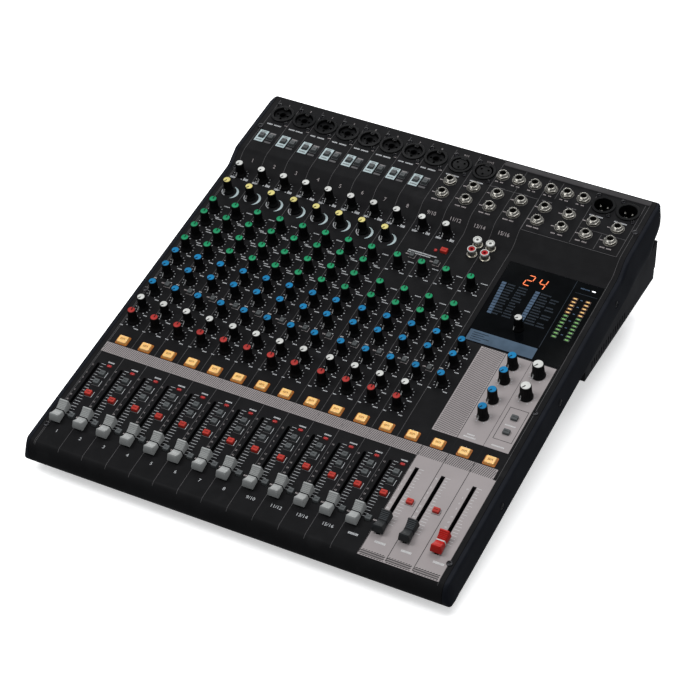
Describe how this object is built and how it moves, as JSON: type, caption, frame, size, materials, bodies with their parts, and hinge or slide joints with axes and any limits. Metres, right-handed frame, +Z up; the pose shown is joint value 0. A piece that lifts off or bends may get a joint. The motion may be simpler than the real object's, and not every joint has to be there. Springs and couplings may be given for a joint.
{
  "type": "mixing console",
  "caption": "Desktop audio mixer: a sloping panel of knobs, buttons and faders that steps up to an inclined deck of sockets, on plastic cheeks and a metal case.",
  "frame": {"origin": "middle of the base of the console's bounding box, on the surface that it stands on", "axes": "+X to the user's right, +Y from the front edge to the rear, +Z up"},
  "size_m": [0.444, 0.5, 0.1316],
  "materials": {
    "cover_paint": "satin",
    "cheek_plastic": "satin",
    "case_steel": "matte",
    "black_plastic": "satin",
    "supply_metal": "matte",
    "rubber": "matte",
    "circuit_board": "satin",
    "socket_metal": "satin",
    "display_glass": "gloss",
    "knob_plastic": "matte",
    "knob_white": "satin",
    "knob_yellow": "satin",
    "knob_green": "satin",
    "knob_blue": "satin",
    "knob_red": "satin",
    "fader_light": "satin",
    "fader_dark": "satin",
    "fader_red": "satin",
    "button_amber": "satin",
    "button_grey": "satin",
    "button_red": "satin",
    "print_ink": "matte",
    "screw_metal": "satin",
    "lamp_plastic": "gloss"
  },
  "bodies": {
    "console": {"top_cover": "cover_paint", "left_cheek": "cheek_plastic", "right_cheek": "cheek_plastic", "bottom_case": "case_steel", "ac_inlet": "black_plastic", "power_supply": "supply_metal", "foot_1": "rubber", "foot_2": "rubber", "foot_3": "rubber", "foot_4": "rubber", "control_board": "circuit_board", "fader_board": "circuit_board", "phono_sockets": "socket_metal", "display_window": "display_glass", "input_socket_board": "black_plastic", "line_socket_board": "socket_metal", "output_socket_board": "socket_metal"},
    "gain_knob_body": {"gain_knob": "knob_plastic"},
    "compressor_knob_body": {"compressor_knob": "knob_plastic"},
    "high_eq_knob_body": {"high_eq_knob": "knob_plastic"},
    "mid_frequency_knob_body": {"mid_frequency_knob": "knob_plastic"},
    "mid_eq_knob_body": {"mid_eq_knob": "knob_plastic"},
    "low_eq_knob_body": {"low_eq_knob": "knob_plastic"},
    "aux_1_knob_body": {"aux_1_knob": "knob_plastic"},
    "aux_2_knob_body": {"aux_2_knob": "knob_plastic"},
    "aux_3_knob_body": {"aux_3_knob": "knob_plastic"},
    "effect_send_knob_body": {"effect_send_knob": "knob_plastic"},
    "pan_knob_body": {"pan_knob": "knob_plastic"},
    "aux_master_knob_1_body": {"aux_master_knob_1": "knob_plastic"},
    "aux_master_knob_2_body": {"aux_master_knob_2": "knob_plastic"},
    "aux_master_knob_3_body": {"aux_master_knob_3": "knob_plastic"},
    "aux_master_knob_4_body": {"aux_master_knob_4": "knob_plastic"},
    "phones_level_knob_body": {"phones_level_knob": "knob_plastic"},
    "monitor_level_knob_body": {"monitor_level_knob": "knob_plastic"},
    "program_knob_body": {"program_knob": "knob_plastic"},
    "fader_channel_1_body": {"fader_channel_1": "fader_light"},
    "fader_channel_2_body": {"fader_channel_2": "fader_light"},
    "fader_channel_3_body": {"fader_channel_3": "fader_light"},
    "fader_channel_4_body": {"fader_channel_4": "fader_light"},
    "fader_channel_5_body": {"fader_channel_5": "fader_light"},
    "fader_channel_6_body": {"fader_channel_6": "fader_light"},
    "fader_channel_7_body": {"fader_channel_7": "fader_light"},
    "fader_channel_8_body": {"fader_channel_8": "fader_light"},
    "fader_9_10_body": {"fader_9_10": "fader_light"},
    "fader_11_12_body": {"fader_11_12": "fader_light"},
    "fader_13_14_body": {"fader_13_14": "fader_light"},
    "fader_15_16_body": {"fader_15_16": "fader_light"},
    "fader_effect_return_body": {"fader_effect_return": "fader_light"},
    "fader_group_1_2_body": {"fader_group_1_2": "fader_dark"},
    "fader_group_3_4_body": {"fader_group_3_4": "fader_dark"},
    "fader_main_body": {"fader_main": "fader_red"},
    "on_button_body": {"on_button": "button_amber"},
    "group_button_body": {"group_button": "button_red"},
    "assign_button_1_body": {"assign_button_1": "button_grey"},
    "assign_button_2_body": {"assign_button_2": "button_grey"},
    "listen_button_body": {"listen_button": "button_grey"},
    "phantom_power_button_body": {"phantom_power_button": "button_red"},
    "pad_button_body": {"pad_button": "button_grey"},
    "low_cut_button_body": {"low_cut_button": "button_grey"},
    "power_switch_body": {"power_switch": "black_plastic"}
  },
  "joints": [
    {"name": "gain_knob_turn", "type": "hinge", "parent": "console", "child": "gain_knob_body", "pos_m": [-0.1976, 0.14051, 0.10335], "axis": [0, 0.1599, -0.9871], "range_deg": [0, 300]},
    {"name": "compressor_knob_turn", "type": "hinge", "parent": "console", "child": "compressor_knob_body", "pos_m": [-0.1976, 0.11415, 0.09908], "axis": [0, 0.1599, -0.9871], "range_deg": [0, 300]},
    {"name": "high_eq_knob_turn", "type": "hinge", "parent": "console", "child": "high_eq_knob_body", "pos_m": [-0.1976, 0.08474, 0.09432], "axis": [0, 0.1599, -0.9871], "range_deg": [-150, 150]},
    {"name": "mid_frequency_knob_turn", "type": "hinge", "parent": "console", "child": "mid_frequency_knob_body", "pos_m": [-0.1976, 0.06608, 0.09129], "axis": [0, 0.1599, -0.9871], "range_deg": [-150, 150]},
    {"name": "mid_eq_knob_turn", "type": "hinge", "parent": "console", "child": "mid_eq_knob_body", "pos_m": [-0.1976, 0.04614, 0.08806], "axis": [0, 0.1599, -0.9871], "range_deg": [-150, 150]},
    {"name": "low_eq_knob_turn", "type": "hinge", "parent": "console", "child": "low_eq_knob_body", "pos_m": [-0.1976, 0.0265, 0.08488], "axis": [0, 0.1599, -0.9871], "range_deg": [-150, 150]},
    {"name": "aux_1_knob_turn", "type": "hinge", "parent": "console", "child": "aux_1_knob_body", "pos_m": [-0.1976, 0.00764, 0.08183], "axis": [0, 0.1599, -0.9871], "range_deg": [0, 300]},
    {"name": "aux_2_knob_turn", "type": "hinge", "parent": "console", "child": "aux_2_knob_body", "pos_m": [-0.1976, -0.0119, 0.07866], "axis": [0, 0.1599, -0.9871], "range_deg": [0, 300]},
    {"name": "aux_3_knob_turn", "type": "hinge", "parent": "console", "child": "aux_3_knob_body", "pos_m": [-0.1976, -0.03786, 0.07446], "axis": [0, 0.1599, -0.9871], "range_deg": [0, 300]},
    {"name": "effect_send_knob_turn", "type": "hinge", "parent": "console", "child": "effect_send_knob_body", "pos_m": [-0.1976, -0.06037, 0.07081], "axis": [0, 0.1599, -0.9871], "range_deg": [0, 300]},
    {"name": "pan_knob_turn", "type": "hinge", "parent": "console", "child": "pan_knob_body", "pos_m": [-0.1976, -0.07903, 0.06779], "axis": [0, 0.1599, -0.9871], "range_deg": [-150, 150]},
    {"name": "aux_master_knob_1_turn", "type": "hinge", "parent": "console", "child": "aux_master_knob_1_body", "pos_m": [0.1651, 0.00705, 0.08173], "axis": [0, 0.1599, -0.9871], "range_deg": [0, 300]},
    {"name": "aux_master_knob_2_turn", "type": "hinge", "parent": "console", "child": "aux_master_knob_2_body", "pos_m": [0.1651, -0.0124, 0.07858], "axis": [0, 0.1599, -0.9871], "range_deg": [0, 300]},
    {"name": "aux_master_knob_3_turn", "type": "hinge", "parent": "console", "child": "aux_master_knob_3_body", "pos_m": [0.1651, -0.03816, 0.07441], "axis": [0, 0.1599, -0.9871], "range_deg": [0, 300]},
    {"name": "aux_master_knob_4_turn", "type": "hinge", "parent": "console", "child": "aux_master_knob_4_body", "pos_m": [0.1651, -0.05988, 0.07089], "axis": [0, 0.1599, -0.9871], "range_deg": [0, 300]},
    {"name": "phones_level_knob_turn", "type": "hinge", "parent": "console", "child": "phones_level_knob_body", "pos_m": [0.1919, 0.00616, 0.08159], "axis": [0, 0.1599, -0.9871], "range_deg": [0, 300]},
    {"name": "monitor_level_knob_turn", "type": "hinge", "parent": "console", "child": "monitor_level_knob_body", "pos_m": [0.1919, -0.02237, 0.07697], "axis": [0, 0.1599, -0.9871], "range_deg": [0, 300]},
    {"name": "program_knob_turn", "type": "hinge", "parent": "console", "child": "program_knob_body", "pos_m": [0.1508, 0.05295, 0.08917], "axis": [0, 0.1599, -0.9871], "continuous": true},
    {"name": "fader_channel_1_slide", "type": "slide", "parent": "console", "child": "fader_channel_1_body", "axis": [0, 0.9871, 0.1599], "range_m": [0, 0.06]},
    {"name": "fader_channel_2_slide", "type": "slide", "parent": "console", "child": "fader_channel_2_body", "axis": [0, 0.9871, 0.1599], "range_m": [0, 0.06]},
    {"name": "fader_channel_3_slide", "type": "slide", "parent": "console", "child": "fader_channel_3_body", "axis": [0, 0.9871, 0.1599], "range_m": [0, 0.06]},
    {"name": "fader_channel_4_slide", "type": "slide", "parent": "console", "child": "fader_channel_4_body", "axis": [0, 0.9871, 0.1599], "range_m": [0, 0.06]},
    {"name": "fader_channel_5_slide", "type": "slide", "parent": "console", "child": "fader_channel_5_body", "axis": [0, 0.9871, 0.1599], "range_m": [0, 0.06]},
    {"name": "fader_channel_6_slide", "type": "slide", "parent": "console", "child": "fader_channel_6_body", "axis": [0, 0.9871, 0.1599], "range_m": [0, 0.06]},
    {"name": "fader_channel_7_slide", "type": "slide", "parent": "console", "child": "fader_channel_7_body", "axis": [0, 0.9871, 0.1599], "range_m": [0, 0.06]},
    {"name": "fader_channel_8_slide", "type": "slide", "parent": "console", "child": "fader_channel_8_body", "axis": [0, 0.9871, 0.1599], "range_m": [0, 0.06]},
    {"name": "fader_9_10_slide", "type": "slide", "parent": "console", "child": "fader_9_10_body", "axis": [0, 0.9871, 0.1599], "range_m": [0, 0.06]},
    {"name": "fader_11_12_slide", "type": "slide", "parent": "console", "child": "fader_11_12_body", "axis": [0, 0.9871, 0.1599], "range_m": [0, 0.06]},
    {"name": "fader_13_14_slide", "type": "slide", "parent": "console", "child": "fader_13_14_body", "axis": [0, 0.9871, 0.1599], "range_m": [0, 0.06]},
    {"name": "fader_15_16_slide", "type": "slide", "parent": "console", "child": "fader_15_16_body", "axis": [0, 0.9871, 0.1599], "range_m": [0, 0.06]},
    {"name": "fader_effect_return_slide", "type": "slide", "parent": "console", "child": "fader_effect_return_body", "axis": [0, 0.9871, 0.1599], "range_m": [0, 0.06]},
    {"name": "fader_group_1_2_slide", "type": "slide", "parent": "console", "child": "fader_group_1_2_body", "axis": [0, 0.9871, 0.1599], "range_m": [0, 0.06]},
    {"name": "fader_group_3_4_slide", "type": "slide", "parent": "console", "child": "fader_group_3_4_body", "axis": [0, 0.9871, 0.1599], "range_m": [0, 0.06]},
    {"name": "fader_main_slide", "type": "slide", "parent": "console", "child": "fader_main_body", "axis": [0, 0.9871, 0.1599], "range_m": [0, 0.06]},
    {"name": "on_button_press", "type": "slide", "parent": "console", "child": "on_button_body", "axis": [0, 0.1599, -0.9871], "range_m": [0, 0.0018], "stiffness_N_per_m": 120, "springref_m": -0.001},
    {"name": "group_button_press", "type": "slide", "parent": "console", "child": "group_button_body", "axis": [0, 0.1599, -0.9871], "range_m": [0, 0.0018], "stiffness_N_per_m": 120, "springref_m": -0.001},
    {"name": "assign_button_1_press", "type": "slide", "parent": "console", "child": "assign_button_1_body", "axis": [0, 0.1599, -0.9871], "range_m": [0, 0.0018], "stiffness_N_per_m": 120, "springref_m": -0.001},
    {"name": "assign_button_2_press", "type": "slide", "parent": "console", "child": "assign_button_2_body", "axis": [0, 0.1599, -0.9871], "range_m": [0, 0.0018], "stiffness_N_per_m": 120, "springref_m": -0.001},
    {"name": "listen_button_press", "type": "slide", "parent": "console", "child": "listen_button_body", "axis": [0, 0.1599, -0.9871], "range_m": [0, 0.0018], "stiffness_N_per_m": 120, "springref_m": -0.001},
    {"name": "phantom_power_button_press", "type": "slide", "parent": "console", "child": "phantom_power_button_body", "axis": [0, 0.1599, -0.9871], "range_m": [0, 0.0018], "stiffness_N_per_m": 120, "springref_m": -0.001},
    {"name": "pad_button_press", "type": "slide", "parent": "console", "child": "pad_button_body", "axis": [0, 0.1461, -0.9893], "range_m": [0, 0.0018], "stiffness_N_per_m": 120, "springref_m": -0.001},
    {"name": "low_cut_button_press", "type": "slide", "parent": "console", "child": "low_cut_button_body", "axis": [0, 0.1461, -0.9893], "range_m": [0, 0.0018], "stiffness_N_per_m": 120, "springref_m": -0.001},
    {"name": "power_switch_rock", "type": "hinge", "parent": "console", "child": "power_switch_body", "pos_m": [-0.112, 0.236, 0.066], "axis": [1, 0, 0], "range_deg": [0, 14]}
  ]
}
